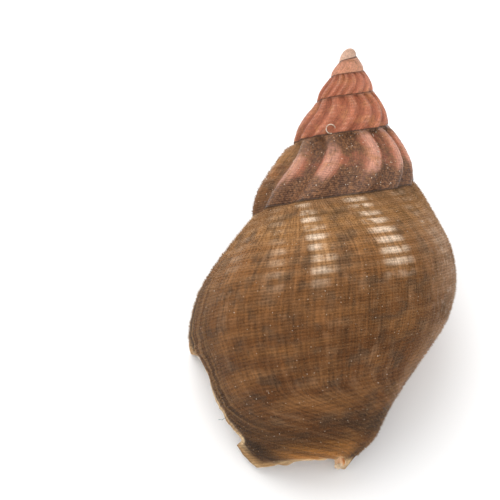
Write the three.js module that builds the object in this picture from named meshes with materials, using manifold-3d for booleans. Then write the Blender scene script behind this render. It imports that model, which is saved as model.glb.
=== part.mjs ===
// An empty whelk shell, lying on its aperture with its spire in the air.
// The wall grows along a spiral: after each turn every length is GROWTH times as large.
// The shell is first made upright, with its axis on Z and its apex at the top, and then laid down.
// A place on it is a turn, 0 at the lip and negative before it, and a share of the lip's outline,
// 0 at the suture and 1 at the open end of the siphonal canal.

import * as THREE from 'three';
import Module from 'manifold-3d';

// Outline of the lip in millimetres: distance from the axis, and depth below the start of the spiral
const LIP_OUTLINE = [
  [16.3, 33.2], [18.4, 36.2], [20.8, 39.5], [23.6, 43.5], [26.1, 48.1], [27.4, 53.4],
  [27.6, 58.6], [26.5, 63.9], [24.5, 68.8], [21.4, 73.3], [17.6, 77], [13.1, 80.6],
];
const APEX_DEPTH = 1.3;
const TIP_DEPTH = 80.1;

// Growth
const GROWTH = 1.69;
const TURNS = 6;
const SUTURE = 0.5;           // share of the outline where the next whorl joins on
const BASE = 0.645;           // share of the outline below which the whorls draw in to one neck
const NECK_DRAW = 3.65;       // extra growth exponent of the radius towards the neck
const NECK_END_DRAW = 6.7;    // the same, for the last of the neck
const NECK_END_POWER = 14;    // how late that last draw sets in
const DEPTH_HOLD = 1.5;       // how soon the depth stops growing towards the neck
const COLUMELLA_DRAW = 1.6;   // growth exponent that hollows the columella, on top of the rest
const COLUMELLA_START = -0.55;

// Siphonal notch, the ridge that it leaves around the neck, and the columella, in millimetres
const NOTCH_DEPTH = 2.5;
const NOTCH_ROUND = 0.8;      // power
const NOTCH_REACH = 8;        // power
const NOTCH_TURNS = 0.5;
const TIP_RISE = 0.5;         // how far the end of the columella stays short of the lip
const FASCIOLE = { share: 0.935, width: 0.035, height: 0.9 };
const FASCIOLE_SPAN = { from: -1.1, full: -0.9, until: -0.35, end: -0.1 };
const COLUMELLA_RADIUS = 1.7;
const COLUMELLA_TAPER = 0.75;
const COLUMELLA_FLARE = 0.75;
const COLUMELLA_END = 0.25;   // share of the base over which the columella takes over
const TIP_LEAN = 1.5;
const TIP_LEAN_TOP = 70;
const TIP_LEAN_REACH = 7;

// Folds across the whorls: turns at which some of them leave the suture, and their numbers from the lip
const FOLD_CRESTS = [
  [-6, -95], [-3.403, -42], [-3.328, -41], [-3.256, -40], [-3.203, -39], [-3.156, -38], [-3.086, -37],
  [-2.386, -26], [-2.317, -25], [-2.25, -24], [-2.161, -23], [-2.092, -22], [-2.033, -21],
  [-1.447, -14], [-1.384, -13], [-1.3, -12], [-1.186, -11], [-1.1, -10], [-1.003, -9],
  [-0.275, -2], [-0.17, -1], [-0.115, 0], [0, 1.5],
];
const FOLD_HEIGHT = 0.075;    // share of the radius at the lip
const FOLD_SMALLER = 0.31;    // how fast that share gets less towards the apex
const FOLD_SHOULDER = { by: 0.7, from: 0.12, until: 0.34 };
const FOLD_SINK = 0.25;       // share of the height by which the whole pattern is let in
const FOLD_BACK = 0.035;      // how many turns a fold bows back between its ends
const FOLD_BIRTH_START = -4.8;
const FOLD_BIRTH_END = -3.2;
const FOLD_FADE_START = -0.9;
const FOLD_FADE_END = -0.45;
const FOLD_LAST = 0.2;        // share of the height that is left on the last whorl
const FOLD_TOP = 0.06;        // share of the outline over which a fold rises below the suture
const FOLD_WEAK = { from: 0.42, to: 0.7, by: 0.8 };
const LAST_BACK = 0.068;      // how many turns a growth line falls back on the last whorl
const LAST_BACK_FULL = 0.425; // share of the outline at which it has done so
const LAST_BACK_TURN = -0.6;

// Lip: it stands forward in the middle, turns out at the edge, and is broken away along one stretch
const LIP_FORWARD = 0.066;    // turns
const LIP_ROUND = 0.8;
const LIP_WARP_START = -0.22;
const LIP_FLARE = 2.3;        // millimetres
const LIP_FLARE_WIDTH = 0.028;
const LIP_FLARE_TOP = { from: 0.34, to: 0.52 };
const LIP_FLARE_LESS = { from: 0.7, to: 0.9, by: 0.5 };
const LIP_DRAW = 0.1;         // share of the radius that the last growth draws in
const LIP_DRAW_START = -0.16;
const LIP_DRAW_BAND = { from: 0.5, full: 0.64, until: 0.86 };
const CHIP = { from: 0.55, to: 0.885, back: 0.032, edge: 0.014, start: -0.1 };

// Wall, in millimetres
const WALL = 1.45;
const LIP_WALL = 0.9;
const LIP_WALL_START = -0.3;
const GLAZE = 0.3;
const NARROWEST = 0.5;
const CAVITY_TURNS = 2.25;
const CAVITY_TOP = 0.04;      // share of the outline at which the hollow may start
const OVERSHOOT = 0.12;       // turns that the hollow runs out past the lip
const DROP = 2.5;             // millimetres that the hollow runs out below the canal
const SLOPE_STEP = 0.004;     // share of the outline over which its slope is taken
const SPAN_STEP = 0.005;      // share of the outline by which the hollow's ends are searched
const HALVINGS = 24;          // steps in the search for the core at a depth

// Resting pose, in degrees
const APEX_LIFT = 25;
const ROLL = 1;

// Mesh density
const COLUMNS = 48;
const SHIFT = 1;              // columns that a growth line gains from one suture to the next
const SPIRE_ROWS = 8;
const BASE_ROWS = 12;
const ROWS = SPIRE_ROWS + BASE_ROWS;
const FINE_START = -0.5;      // turn after which the hollow has as many columns as the outside

const lipPoints = LIP_OUTLINE.map(([radius, depth]) => new THREE.Vector3(radius, depth, 0));
const lipCurve = new THREE.CatmullRomCurve3(lipPoints, false, 'catmullrom');

const { clamp, smoothstep, lerp, degToRad } = THREE.MathUtils;

// Radius and depth of the smooth outer surface
function outline(turn, share) {
  const lip = lipCurve.getPoint(clamp(share, 0, 1));
  const size = GROWTH ** turn;
  const base = clamp((share - BASE) / (1 - BASE), 0, 1);
  const inside = smoothstep(-turn, -COLUMELLA_START, 1);
  const draw = (NECK_DRAW + COLUMELLA_DRAW * inside * (1 - base)) * base ** 2
    + NECK_END_DRAW * base ** NECK_END_POWER;
  let radius = lip.x * size ** (1 + draw);
  let depth = lip.y * size ** ((1 - base ** 2) ** DEPTH_HOLD);
  const notch = Math.sin(Math.PI * clamp(-turn / NOTCH_TURNS, 0, 1)) ** NOTCH_ROUND;
  depth -= (NOTCH_DEPTH * notch + TIP_RISE * smoothstep(-turn, 0, NOTCH_TURNS)) * base ** NOTCH_REACH;
  const from = (share - FASCIOLE.share) / FASCIOLE.width;
  const span = smoothstep(turn, FASCIOLE_SPAN.from, FASCIOLE_SPAN.full)
    * (1 - smoothstep(turn, FASCIOLE_SPAN.until, FASCIOLE_SPAN.end));
  radius += FASCIOLE.height * span * Math.exp(-from * from);
  const pillar = COLUMELLA_RADIUS * (1 - COLUMELLA_TAPER * base);
  const joined = (radius + pillar + Math.hypot(radius - pillar, COLUMELLA_FLARE)) / 2;
  radius = lerp(radius, joined, Math.min(1, base / COLUMELLA_END));
  const band = smoothstep(share, LIP_DRAW_BAND.from, LIP_DRAW_BAND.full)
    * (1 - smoothstep(share, LIP_DRAW_BAND.until, 1));
  radius *= 1 - LIP_DRAW * band * smoothstep(turn, LIP_DRAW_START, 0);
  const edge = wholeLipTurn(share);
  const flared = smoothstep(share, LIP_FLARE_TOP.from, LIP_FLARE_TOP.to)
    * (1 - LIP_FLARE_LESS.by * smoothstep(share, LIP_FLARE_LESS.from, LIP_FLARE_LESS.to));
  radius += LIP_FLARE * flared * smoothstep(turn, edge - LIP_FLARE_WIDTH, edge);
  return { radius, depth };
}

// How many turns the growth line that leaves the suture at a turn stands forward of it at a share
function growthLine(line, share) {
  const across = Math.min(1, share / SUTURE);
  const spire = across * SHIFT / COLUMNS - FOLD_BACK * Math.sin(Math.PI * across);
  const last = -LAST_BACK * Math.sin(Math.PI / 2 * Math.min(1, share / LAST_BACK_FULL));
  return lerp(spire, last, smoothstep(line, -1, LAST_BACK_TURN));
}

// Number of folds between the lip and a growth line, negative towards the apex
function foldCount(line) {
  const next = Math.max(1, FOLD_CRESTS.findIndex(([turn]) => turn >= line));
  const [start, before] = FOLD_CRESTS[next - 1];
  const [end, after] = FOLD_CRESTS[next];
  return lerp(before, after, (line - start) / (end - start));
}

// Share of the radius that the folds add, on the growth line that leaves the suture at a turn
function folds(line, share) {
  const grown = smoothstep(line, FOLD_BIRTH_START, FOLD_BIRTH_END);
  const faded = lerp(1, FOLD_LAST, smoothstep(line, FOLD_FADE_START, FOLD_FADE_END));
  const weak = FOLD_WEAK.by * smoothstep(share, FOLD_WEAK.from, FOLD_WEAK.to);
  const strong = FOLD_SHOULDER.by * (1 - smoothstep(share, FOLD_SHOULDER.from, FOLD_SHOULDER.until));
  const risen = grown * faded * smoothstep(share, 0, FOLD_TOP);
  const height = FOLD_HEIGHT / (1 - FOLD_SMALLER * line) * risen * (1 + strong - weak);
  return height * (Math.cos(2 * Math.PI * foldCount(line)) - FOLD_SINK);
}

// Turn of the lip's edge before it broke
function wholeLipTurn(share) {
  return LIP_FORWARD * Math.sin(Math.PI * clamp(share, 0, 1) ** LIP_ROUND);
}

// Turns by which the broken edge lies behind the whole one
function broken(share) {
  const begun = smoothstep(share, CHIP.from - CHIP.edge, CHIP.from + CHIP.edge);
  const ended = smoothstep(share, CHIP.to - CHIP.edge, CHIP.to + CHIP.edge);
  return CHIP.back * begun * (1 - ended);
}

// Turn of a point on a growth line, which turns into the lip's own edge at the end
function turnOf(line, share) {
  const toLip = smoothstep(line, LIP_WARP_START, 0);
  const whole = line + lerp(growthLine(line, share), wholeLipTurn(share), toLip);
  return whole - broken(share) * smoothstep(line, CHIP.start, 0);
}

// A point of the upright shell, where the last of the columella leans away from the lip
function place(turn, radius, depth) {
  const angle = -2 * Math.PI * turn;
  const leaning = smoothstep(depth, TIP_LEAN_TOP, TIP_DEPTH) * (1 - smoothstep(radius, 0, TIP_LEAN_REACH));
  const lean = TIP_LEAN * leaning;
  return [radius * Math.cos(angle) - lean, radius * Math.sin(angle), -depth];
}

// Vertices and triangles of one closed solid
class Shape {
  vertices = [];
  triangles = [];

  vertex(point) {
    this.vertices.push(...point);
    return this.vertices.length / 3 - 1;
  }

  triangle(a, b, c) {
    if (a !== b && b !== c && c !== a) this.triangles.push(a, b, c);
  }

  distance(a, b) {
    const along = [0, 1, 2].map(axis => this.vertices[3 * a + axis] - this.vertices[3 * b + axis]);
    return Math.hypot(...along);
  }

  // Two triangles on the shorter diagonal
  quad(a, b, c, d) {
    if (this.distance(a, c) <= this.distance(b, d)) {
      this.triangle(a, b, c);
      this.triangle(a, c, d);
    } else {
      this.triangle(a, b, d);
      this.triangle(b, c, d);
    }
  }
}

function shareOf(row) {
  if (row <= SPIRE_ROWS) return SUTURE * row / SPIRE_ROWS;
  return SUTURE + (1 - SUTURE) * (row - SPIRE_ROWS) / BASE_ROWS;
}

// The shell as if it were full: whorl on whorl, each joined to the one before it at the suture
function fullShell() {
  const shape = new Shape();
  const first = -TURNS * COLUMNS;
  const lastTurn = -COLUMNS;
  const apex = shape.vertex([0, 0, -APEX_DEPTH]);
  const ids = new Map();

  function pointAt(column, row) {
    const line = column / COLUMNS;
    const share = shareOf(row);
    const turn = turnOf(line, share);
    const { radius, depth } = outline(turn, share);
    const folded = radius * (1 + folds(line, share));
    const start = line + TURNS;
    if (start >= 1) return place(turn, folded, depth);
    const bud = outline(turn, SUTURE);
    const across = Math.PI / 2 * row / SPIRE_ROWS;
    const grown = Math.sqrt(start);
    const dome = lerp(APEX_DEPTH, bud.depth, grown * (1 - Math.cos(across)));
    return place(turn, bud.radius * grown * Math.sin(across), dome);
  }

  function id(column, row) {
    if (column === first) return apex;
    if (row === 0) {
      const before = column - COLUMNS - SHIFT;
      return before <= first ? apex : id(before, SPIRE_ROWS);
    }
    const key = `${column} ${row}`;
    if (!ids.has(key)) ids.set(key, shape.vertex(pointAt(column, row)));
    return ids.get(key);
  }

  for (let column = first; column < 0; column += 1) {
    const last = column < lastTurn ? SPIRE_ROWS : ROWS;
    for (let row = 0; row < last; row += 1) {
      shape.quad(id(column, row), id(column + 1, row), id(column + 1, row + 1), id(column, row + 1));
    }
  }

  const tip = shape.vertex(place(0, 0, TIP_DEPTH));
  for (let column = lastTurn; column < 0; column += 1) {
    shape.triangle(id(column, ROWS), id(column + 1, ROWS), tip);
  }
  shape.triangle(id(0, ROWS), id(lastTurn, ROWS), tip);

  for (let column = lastTurn - SHIFT; column < lastTurn; column += 1) {
    shape.triangle(id(0, 1), id(column, SPIRE_ROWS), id(column + 1, SPIRE_ROWS));
  }
  for (let row = 1; row < SPIRE_ROWS; row += 1) {
    shape.triangle(id(0, row + 1), id(0, row), id(lastTurn, SPIRE_ROWS));
  }
  for (let row = SPIRE_ROWS; row < ROWS; row += 1) {
    shape.quad(id(0, row + 1), id(0, row), id(lastTurn, row), id(lastTurn, row + 1));
  }
  return shape;
}

// Radius and depth of the inner face of the outer wall
function innerFace(turn, share) {
  const here = outline(turn, share);
  const above = outline(turn, Math.max(0, share - SLOPE_STEP));
  const below = outline(turn, Math.min(1, share + SLOPE_STEP));
  const across = below.radius - above.radius;
  const down = below.depth - above.depth;
  const length = Math.hypot(across, down);
  const thinned = lerp(WALL, LIP_WALL, smoothstep(turn, LIP_WALL_START, 0));
  const wall = thinned * Math.sqrt(GROWTH ** Math.min(0, turn));
  return { radius: here.radius - wall * down / length, depth: here.depth + wall * across / length };
}

// Radius of the whorl before and of the columella, at a depth
function coreRadius(turn, depth) {
  let above = SUTURE;
  let below = 1;
  for (let halving = 0; halving < HALVINGS; halving += 1) {
    const middle = (above + below) / 2;
    if (outline(turn - 1, middle).depth < depth) above = middle;
    else below = middle;
  }
  return outline(turn - 1, above).radius + GLAZE;
}

function gap(turn, share) {
  const face = innerFace(turn, share);
  return face.radius - coreRadius(turn, face.depth);
}

// Shares of the outline between which the hollow is wide enough to be there
function hollowSpan(turn) {
  let top = CAVITY_TOP;
  while (gap(turn, top) < NARROWEST) top += SPAN_STEP;
  let bottom = top + SPAN_STEP;
  while (bottom < 1 && gap(turn, bottom) >= NARROWEST) bottom += SPAN_STEP;
  return { top, bottom: Math.min(1, bottom) };
}

// Growth lines on which the hollow has a ring of points, closer together near the lip
function hollowLines() {
  const lines = [];
  const fine = FINE_START * COLUMNS;
  for (let column = -CAVITY_TURNS * COLUMNS; column < fine; column += 2) lines.push(column / COLUMNS);
  for (let column = fine; column <= 0; column += 1) lines.push(column / COLUMNS);
  lines.push(OVERSHOOT);
  return lines;
}

// The hollow of the shell, run out past the lip and below the canal
function hollow() {
  const shape = new Shape();
  const rings = hollowLines().map(line => {
    const { top, bottom } = hollowSpan(Math.min(line, 0));
    const outer = [];
    const inner = [];
    const add = (share, drop) => {
      const turn = line > 0 ? line : turnOf(line, share);
      const face = innerFace(turn, share);
      const depth = face.depth + drop;
      const core = Math.min(coreRadius(Math.max(turn, line), depth), face.radius - NARROWEST / 2);
      outer.push(shape.vertex(place(turn, face.radius, depth)));
      inner.push(shape.vertex(place(line, core, depth)));
    };
    const repeat = () => {
      outer.push(outer.at(-1));
      inner.push(inner.at(-1));
    };
    let before = -1;
    for (let row = 0; row <= ROWS; row += 2) {
      const share = clamp(shareOf(row), top, bottom);
      if (share === before) repeat();
      else add(share, 0);
      before = share;
    }
    if (bottom === 1) add(1, DROP);
    else repeat();
    return { outer, inner };
  });
  const columns = rings.length - 1;
  for (let column = 0; column < columns; column += 1) {
    const loop = ring => [...ring.outer, ...ring.inner.slice().reverse()];
    const here = loop(rings[column]);
    const next = loop(rings[column + 1]);
    here.forEach((from, index) => {
      const after = (index + 1) % here.length;
      shape.quad(from, next[index], next[after], here[after]);
    });
  }
  const start = rings[0];
  const end = rings[columns];
  for (let row = 0; row < end.outer.length - 1; row += 1) {
    shape.quad(end.outer[row], end.inner[row], end.inner[row + 1], end.outer[row + 1]);
    shape.quad(start.outer[row + 1], start.inner[row + 1], start.inner[row], start.outer[row]);
  }
  return shape;
}

// From the upright frame to the resting one: the axis along Y, the back of the shell up
function layDown(geometry) {
  geometry.rotateZ(degToRad(ROLL));
  geometry.applyMatrix4(new THREE.Matrix4().set(
    -1, 0, 0, 0,
    0, 0, 1, 0,
    0, 1, 0, 0,
    0, 0, 0, 1));
  geometry.rotateX(degToRad(APEX_LIFT));
  geometry.computeBoundingBox();
  const { min, max } = geometry.boundingBox;
  geometry.translate(-(min.x + max.x) / 2, -(min.y + max.y) / 2, -min.z);
}

async function shellGeometry() {
  const wasm = await Module();
  wasm.setup();
  const solidOf = shape => new wasm.Manifold(new wasm.Mesh({
    numProp: 3,
    vertProperties: new Float32Array(shape.vertices),
    triVerts: new Uint32Array(shape.triangles),
  }));
  const mesh = solidOf(fullShell()).subtract(solidOf(hollow())).getMesh();
  const geometry = new THREE.BufferGeometry();
  geometry.setAttribute('position', new THREE.BufferAttribute(mesh.vertProperties, 3));
  geometry.setIndex(new THREE.BufferAttribute(mesh.triVerts, 1));
  layDown(geometry);
  geometry.computeVertexNormals();
  return geometry;
}

function shellMaterial() {
  return new THREE.MeshStandardMaterial({ color: 0x7d5636, roughness: 0.75, metalness: 0 });
}

const shell = new THREE.Mesh(await shellGeometry(), shellMaterial());
shell.name = 'shell';

const whelk = new THREE.Group();
whelk.add(shell);

export default whelk;
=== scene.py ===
"""Looks of the whelk shell: a fine mesh of the same spiral with its sculpture, bristly skin and studio.

The spiral is worked out in millimetres with the same values as the CAD part. A place on the shell is
a turn, 0 at the lip and negative before it, and a share of the lip's outline, 0 at the suture and 1 at
the open end of the siphonal canal.
"""

import math

import bpy
import numpy as np
from mathutils import Matrix, Vector


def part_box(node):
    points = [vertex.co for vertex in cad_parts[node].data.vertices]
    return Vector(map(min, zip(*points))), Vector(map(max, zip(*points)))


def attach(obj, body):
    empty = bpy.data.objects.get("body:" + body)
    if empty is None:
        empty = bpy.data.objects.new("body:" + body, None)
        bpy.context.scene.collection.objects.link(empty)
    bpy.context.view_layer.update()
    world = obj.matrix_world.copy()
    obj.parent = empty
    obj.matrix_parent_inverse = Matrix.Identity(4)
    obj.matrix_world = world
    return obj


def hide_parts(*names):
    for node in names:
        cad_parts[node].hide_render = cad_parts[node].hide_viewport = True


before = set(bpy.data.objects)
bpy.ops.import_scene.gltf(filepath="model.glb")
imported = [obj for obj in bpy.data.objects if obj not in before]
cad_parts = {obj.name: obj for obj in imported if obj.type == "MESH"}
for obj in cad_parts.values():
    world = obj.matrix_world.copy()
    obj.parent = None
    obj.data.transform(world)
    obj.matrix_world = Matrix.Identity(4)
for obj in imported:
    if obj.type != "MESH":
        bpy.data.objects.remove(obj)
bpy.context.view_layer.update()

MM = 0.001

# Spiral, as in the CAD part
LIP_OUTLINE = np.array([
    (16.3, 33.2), (18.4, 36.2), (20.8, 39.5), (23.6, 43.5), (26.1, 48.1), (27.4, 53.4),
    (27.6, 58.6), (26.5, 63.9), (24.5, 68.8), (21.4, 73.3), (17.6, 77.0), (13.1, 80.6),
])
APEX_DEPTH = 1.3
TIP_DEPTH = 80.1
GROWTH = 1.69
TURNS = 6
SUTURE = 0.5
BASE = 0.645
NECK_DRAW = 3.65
NECK_END_DRAW = 6.7
NECK_END_POWER = 14
DEPTH_HOLD = 1.5
COLUMELLA_DRAW = 1.6
COLUMELLA_START = -0.55
NOTCH_DEPTH = 2.5
NOTCH_ROUND = 0.8
NOTCH_REACH = 8
NOTCH_TURNS = 0.5
TIP_RISE = 0.5
FASCIOLE_SHARE, FASCIOLE_WIDTH, FASCIOLE_HEIGHT = 0.935, 0.035, 0.9
FASCIOLE_SPAN = (-1.1, -0.9, -0.35, -0.1)
COLUMELLA_RADIUS = 1.7
COLUMELLA_TAPER = 0.75
COLUMELLA_FLARE = 0.75
COLUMELLA_END = 0.25
TIP_LEAN = 1.5
TIP_LEAN_TOP = 70
TIP_LEAN_REACH = 7
FOLD_CRESTS = np.array([
    (-6, -95), (-3.403, -42), (-3.328, -41), (-3.256, -40), (-3.203, -39), (-3.156, -38), (-3.086, -37),
    (-2.386, -26), (-2.317, -25), (-2.25, -24), (-2.161, -23), (-2.092, -22), (-2.033, -21),
    (-1.447, -14), (-1.384, -13), (-1.3, -12), (-1.186, -11), (-1.1, -10), (-1.003, -9),
    (-0.275, -2), (-0.17, -1), (-0.115, 0), (0, 1.5),
])
FOLD_HEIGHT = 0.075
FOLD_SMALLER = 0.31
FOLD_SHOULDER = (0.12, 0.34)
FOLD_STRONGER = 0.7
FOLD_SINK = 0.25
FOLD_BACK = 0.035
FOLD_BIRTH = (-4.8, -3.2)
FOLD_FADE = (-0.9, -0.45)
FOLD_LAST = 0.2
FOLD_TOP = 0.06
FOLD_WEAK = (0.42, 0.7)
FOLD_WEAKENED = 0.8
LAST_BACK = 0.068
LAST_BACK_FULL = 0.425
LAST_BACK_TURN = -0.6
LIP_FORWARD = 0.066
LIP_ROUND = 0.8
LIP_WARP_START = -0.22
LIP_FLARE = 2.3
LIP_FLARE_WIDTH = 0.028
LIP_FLARE_TOP = (0.34, 0.52)
LIP_FLARE_LESS, LIP_FLARE_LESS_BY = (0.7, 0.9), 0.5
LIP_DRAW = 0.1
LIP_DRAW_START = -0.16
LIP_DRAW_BAND = (0.5, 0.64, 0.86)
CHIP_FROM, CHIP_TO, CHIP_BACK, CHIP_EDGE, CHIP_START = 0.55, 0.885, 0.032, 0.014, -0.1
WALL = 1.45
LIP_WALL = 0.9
LIP_WALL_START = -0.3
GLAZE = 0.3
NARROWEST = 0.5
CAVITY_TURNS = 2.25
CAVITY_TOP = 0.04
OVERSHOOT = 0.12
DROP = 2.5
APEX_LIFT = 25.0
ROLL = 1.0

# Sculpture, with heights in millimetres on a whorl of full size
CORDS = 21
CORD_START = 0.7
CORD_HEIGHT = 0.1
CORD_SHARPNESS = 1.5
CORD_SHARES = (0.03, 0.1, 0.96, 1)
CORD_LESS, CORD_LESS_BY = (0.35, 0.6), 0.6
THREADS = 4 * CORDS
GROWTH_STEPS = 6000
GROWTH_STEP_HEIGHT = 0.06
LATE_STEP_HEIGHT = 0.12
LATE_STEP_TURNS, LATE_STEP_SHARES = (-0.12, -0.03), (0.3, 0.5)
GROWTH_CROWD, GROWTH_CROWD_SHARE = 0.8, (0.75, 1)
PATTERN_FORWARD, PATTERN_SPAN = 0.016, (-1.1, -0.9)
EDGE_ROUGHNESS = 0.012
EDGE_ROUGH_SHARES = (0.1, 0.5)
EDGE_WHOLE = 0.25             # how rough the edge is beside the chip, against inside it
END_ROUGHNESS, END_SHARE, END_SPAN = 0.45, 0.955, (-1, -0.9)

# Bristles of the skin, with lengths in millimetres
BRISTLE_LINES = 230
BRISTLE_ROWS = 165
BRISTLE_SHARES = (0.015, 0.965)
BRISTLE_LINE_STRAY = 0.2      # how far one strays from its growth line, in gaps between them
BRISTLE_ROW_STRAY = 0.5       # the same from its row
BRISTLE_LENGTH = 0.36
BRISTLE_LENGTHS = (0.6, 1.3)  # the shortest and the longest, in bristle lengths
BRISTLE_WIDTH = 0.075
BRISTLE_LEAN = 0.35
BRISTLE_ROOT = 0.06
BRISTLE_EDGE = -0.03          # the last growth line that bears them

# Glossy callus beside the mouth, bare of bristles: growth lines before this one, below this share
CALLUS_LINE, CALLUS_SHARE = -0.86, 0.53
CALLUS_LINE_FADE, CALLUS_SHARE_FADE = 0.006, 0.03

# Sand stuck in the skin, a ring-shaped scar on a suture and a fibre on the lip, with sizes in millimetres
GRAINS = 420
GRAIN_LINES, GRAIN_SHARES = (-1.9, -0.03), (0.02, 0.94)
GRAIN_SIZES = (0.06, 0.16)
SCAR_LINE, SCAR_SHARE, SCAR_RADIUS, SCAR_WIDTH = -2.195, 0.45, 0.85, 0.1
SCAR_POINTS = 24
FIBRE_LINE, FIBRE_SHARE, FIBRE_WIDTH = -0.003, 0.78, 0.05
FIBRE_REACH = ((-0.8, 0.3), (0.2, 0), (0.7, 0.1), (1.3, -0.3))

# Colours, as linear red, green and blue. Stops are those of a ramp, each a place and a colour.
# A pair is two colours that a noise mixes, with the second where it is high.
SPIRE_STOPS = (
    (0.0, (0.98, 0.76, 0.63)), (0.16, (0.97, 0.60, 0.42)), (0.3, (0.86, 0.38, 0.23)),
    (0.4, (0.66, 0.24, 0.14)), (0.5, (0.48, 0.145, 0.07)), (0.8, (0.40, 0.13, 0.065)),
)
BODY_STOPS = (
    (0.0, (0.25, 0.125, 0.055)), (0.14, (0.31, 0.15, 0.052)), (0.3, (0.225, 0.096, 0.031)),
    (0.44, (0.16, 0.066, 0.021)), (0.6, (0.12, 0.046, 0.014)), (1.0, (0.10, 0.037, 0.011)),
)
WALL_STOPS = (
    (0.0, (0.82, 0.70, 0.52)), (0.03, (0.82, 0.60, 0.36)),
    (0.12, (0.82, 0.46, 0.18)), (0.6, (0.74, 0.34, 0.10)),
)
# painted highlight: pink dashes on the spire's cords where they cross the folds
PINK_CORD_HIGHLIGHT = (0.80, 0.42, 0.30)
PINK_CREST = (0.58, 0.285, 0.20)
RED_DIP = (0.24, 0.065, 0.032)
ORANGE_BLOTCH = (0.56, 0.23, 0.09)
BROWN_SUTURE = (0.16, 0.075, 0.04)
BLACK_SUTURE = (0.035, 0.018, 0.010)
SOIL_PAIR = ((0.06, 0.026, 0.011), (0.23, 0.105, 0.043))
GREY_CLOUD = (0.075, 0.045, 0.026)
TAN_MOTTLE = (0.30, 0.165, 0.085)
WARM_PATCH = (0.24, 0.105, 0.034)
TAN_CORD = (0.42, 0.25, 0.13)
GOLD_RIDGE = (0.44, 0.25, 0.11)
CREAM_BLOCK = (0.70, 0.53, 0.39)
# pale hairs and dust, with painted sheen along the right-hand limb
PALE_DUST_AND_SHEEN = (0.42, 0.28, 0.19)
PALE_SCRATCH = (0.56, 0.45, 0.36)
DARK_FURROW = (0.045, 0.024, 0.013)
# painted shade, with some dirt, in the hollow behind the flared lip
SHADE_AND_DIRT_BAND = (0.035, 0.017, 0.008)
TAN_LAYER = (0.32, 0.17, 0.07)
ORANGE_NOTCH = (0.44, 0.18, 0.04)
WHITE_FACET = (0.80, 0.70, 0.60)
PALE_SPECK = (0.62, 0.46, 0.32)
STRAW_TIP = (0.45, 0.28, 0.14)
RIM_PAIR = ((0.40, 0.23, 0.10), (0.68, 0.48, 0.27))
CUT_PAIR = ((0.42, 0.28, 0.16), (0.60, 0.45, 0.30))
CALLUS_PAIR = ((0.84, 0.73, 0.60), (0.82, 0.50, 0.26))
CORE_PAIR = ((0.84, 0.74, 0.62), (0.82, 0.50, 0.26))
SAND_PAIR = ((0.36, 0.24, 0.16), (0.72, 0.60, 0.48))
FLUFF_PAIR = ((0.22, 0.30, 0.30), (0.40, 0.48, 0.46))

# Relief too fine for the mesh, in metres
SKIN_RELIEF, SPECK_RELIEF = 0.00014, 0.00004

# Mesh density, with angles in degrees
COLUMNS = 240
SHIFT = 5                     # columns by which a growth line stands forward where the next whorl joins
SPIRE_ROWS = 40
BASE_ROWS = 76
ROWS = SPIRE_ROWS + BASE_ROWS
HOLLOW_COLUMN_STEP, HOLLOW_ROW_STEP = 3, 2
SHARP_ANGLE = 50

# Small steps over which slopes and widths are taken, in shares of the outline or in turns
SCULPTURE_STEP = 0.002
WALL_STEP = 0.004
SURFACE_STEP = 0.001
SPAN_STEP = 0.0025
HALVINGS = 24                 # rounds in which a depth is found on the outline


def smoothstep(low, high, value):
    part = np.clip((value - low) / (high - low), 0, 1)
    return part * part * (3 - 2 * part)


def lerp(start, end, part):
    return start + (end - start) * part


def lip_point(share):
    """The lip's outline as a Catmull-Rom curve through its points."""
    last = len(LIP_OUTLINE) - 1
    along = np.clip(share, 0, 1) * last
    index = np.minimum(along.astype(int), last - 1)
    part = (along - index)[..., None]
    before_first = 2 * LIP_OUTLINE[0] - LIP_OUTLINE[1]
    after_last = 2 * LIP_OUTLINE[-1] - LIP_OUTLINE[-2]
    points = np.vstack([before_first, LIP_OUTLINE, after_last])
    before, start, end, after = (points[index + step] for step in range(4))
    return 0.5 * (
        2 * start + (end - before) * part
        + (2 * before - 5 * start + 4 * end - after) * part ** 2
        + (3 * start - before - 3 * end + after) * part ** 3
    )


def whole_lip_turn(share):
    """The turn of the whole lip's edge, before it was broken."""
    return LIP_FORWARD * np.sin(np.pi * np.clip(share, 0, 1) ** LIP_ROUND)


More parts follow.
